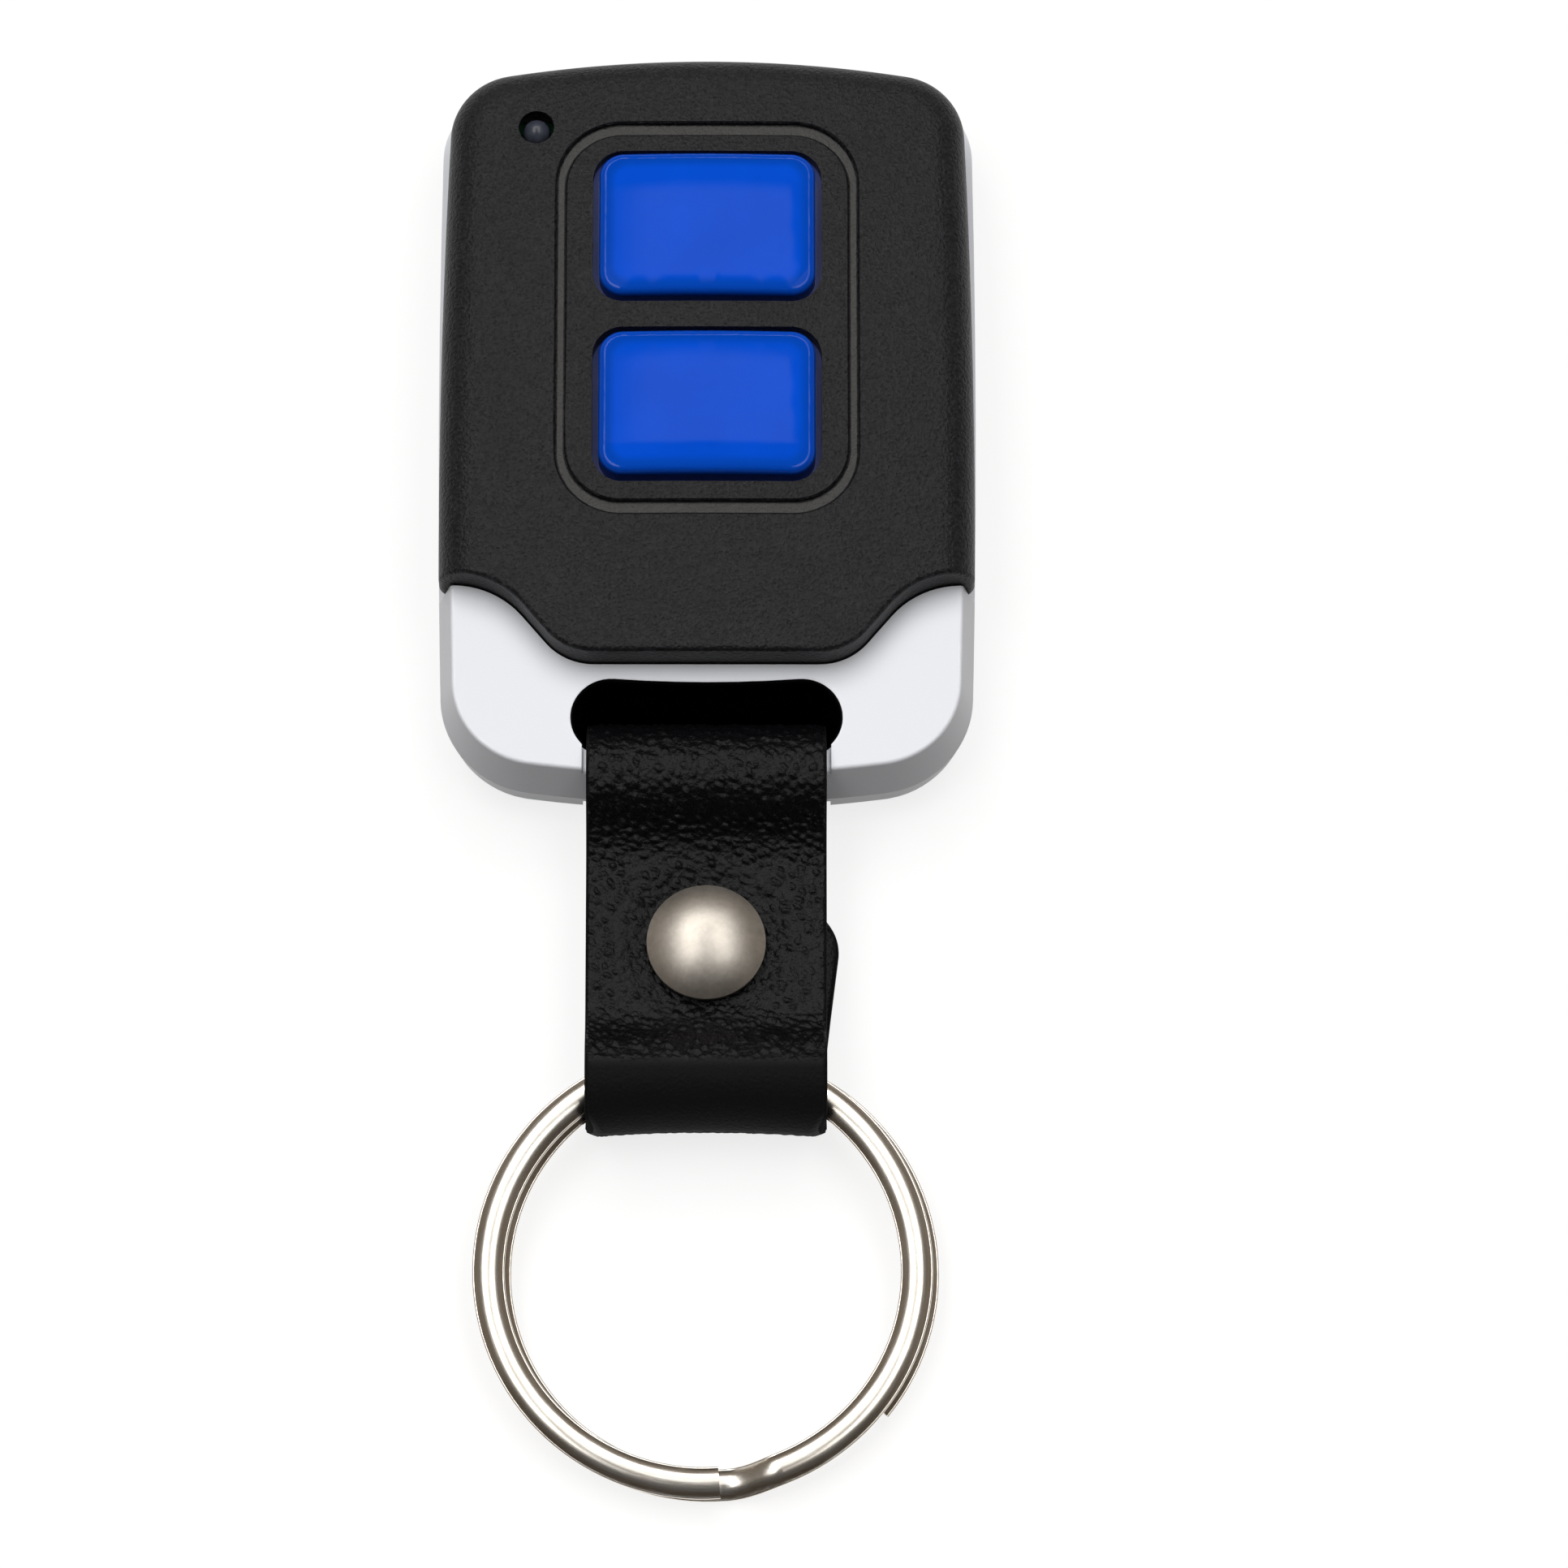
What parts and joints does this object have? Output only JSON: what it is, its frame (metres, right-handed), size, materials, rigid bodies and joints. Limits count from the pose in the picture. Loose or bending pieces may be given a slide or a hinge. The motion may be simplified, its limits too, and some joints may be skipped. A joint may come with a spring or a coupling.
{
  "type": "garage door remote",
  "caption": "Key-fob garage door remote with domed push buttons in a stepped black cover over a silver base, on a riveted leather strap with a split ring.",
  "frame": {"origin": "centre of the remote's flat back face", "axes": "+Z out of the button face, +Y towards the end with the indicator lamp, the strap and ring lie towards -Y, +X to the right seen from the button face"},
  "size_m": [0.0354, 0.0972, 0.0109],
  "materials": {
    "silver_shell": "pale silver lacquered plastic, satin",
    "black_cover": "black plastic with a fine soft-touch grain",
    "blue_gel": "deep blue, high gloss domed gel",
    "key_blue": "moulded blue plastic",
    "smoked_lens": "smoky clear lens",
    "black_leather": "black pebbled leather, smooth at the folds",
    "rivet_nickel": "nickel plate, softly brushed",
    "ring_nickel": "nickel plate, polished, drawn lines along the wire",
    "zinc_steel": "zinc-plated steel",
    "board_green": "green solder mask",
    "copper": "bare copper track",
    "cell_steel": "nickel-plated can",
    "spring_steel": "sprung strip",
    "tinned_pad": "tinned copper",
    "chip_black": "moulded epoxy",
    "ceramic_can": "ceramic with a gold-coloured lid",
    "resistor_black": "dark glaze",
    "capacitor_tan": "tan ceramic",
    "plunger_black": "moulded plastic"
  },
  "bodies": {
    "housing": {"base_shell": "silver_shell", "front_cover": "black_cover", "case_screws": "zinc_steel", "circuit_board": "board_green", "loop_antenna": "copper", "coin_cell": "cell_steel", "battery_clip": "spring_steel", "negative_contact": "tinned_pad", "encoder_chip": "chip_black", "saw_resonator": "ceramic_can", "radio_transistor": "chip_black", "chip_resistors": "resistor_black", "chip_capacitors": "capacitor_tan", "indicator_lamp": "smoked_lens", "upper_switch_body": "chip_black", "upper_switch_plate": "spring_steel", "lower_switch_body": "chip_black", "lower_switch_plate": "spring_steel"},
    "upper_button": {"upper_button_key": "key_blue", "upper_button_dome": "blue_gel", "upper_switch_plunger": "plunger_black"},
    "lower_button": {"lower_button_key": "key_blue", "lower_button_dome": "blue_gel", "lower_switch_plunger": "plunger_black"},
    "strap": {"strap": "black_leather", "rivet_cap": "rivet_nickel", "rivet_post": "rivet_nickel"},
    "ring": {"split_ring": "ring_nickel"}
  },
  "joints": [
    {"name": "upper_button_press", "type": "slide", "parent": "housing", "child": "upper_button", "axis": [0, 0, -1], "range_m": [0, 0.0003], "stiffness_N_per_m": 900, "springref_m": -0.0002},
    {"name": "lower_button_press", "type": "slide", "parent": "housing", "child": "lower_button", "axis": [0, 0, -1], "range_m": [0, 0.0003], "stiffness_N_per_m": 900, "springref_m": -0.0002},
    {"name": "strap_swing", "type": "hinge", "parent": "housing", "child": "strap", "pos_m": [0, -0.02445, 0.0044], "axis": [-1, 0, 0], "range_deg": [-90, 110]},
    {"name": "ring_swing", "type": "hinge", "parent": "strap", "child": "ring", "pos_m": [0, -0.0444, 0.00375], "axis": [-1, 0, 0], "range_deg": [-90, 90]}
  ]
}
